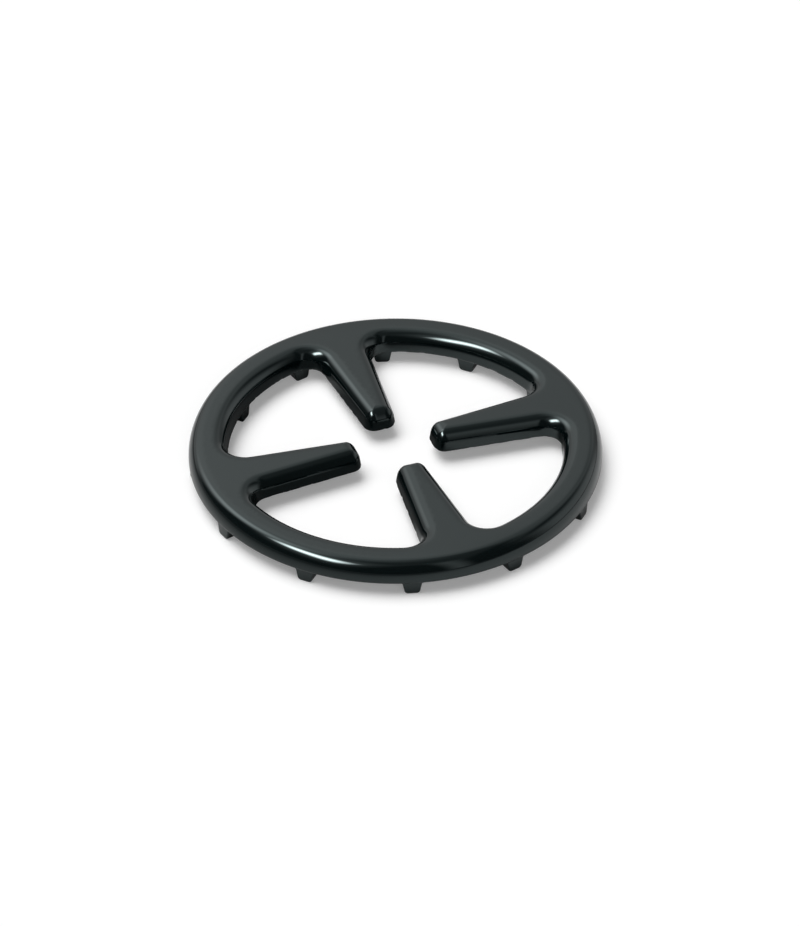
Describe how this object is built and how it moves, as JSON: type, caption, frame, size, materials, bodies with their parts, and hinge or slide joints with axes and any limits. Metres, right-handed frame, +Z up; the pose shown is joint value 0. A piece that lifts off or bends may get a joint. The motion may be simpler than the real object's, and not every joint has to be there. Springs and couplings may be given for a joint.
{
  "type": "gas hob pan reducer",
  "caption": "Round enamelled cast iron trivet with inward fingers and short feet below, which carries a small pot over a large gas burner.",
  "frame": {"origin": "centre of the circle that the feet stand on", "axes": "+Z up out of the flat pan side, +X and +Y each along a finger"},
  "size_m": [0.13, 0.13, 0.011],
  "materials": {
    "enamelled_iron": "gloss"
  },
  "bodies": {
    "root": {"pan_reducer": "enamelled_iron"}
  },
  "joints": []
}
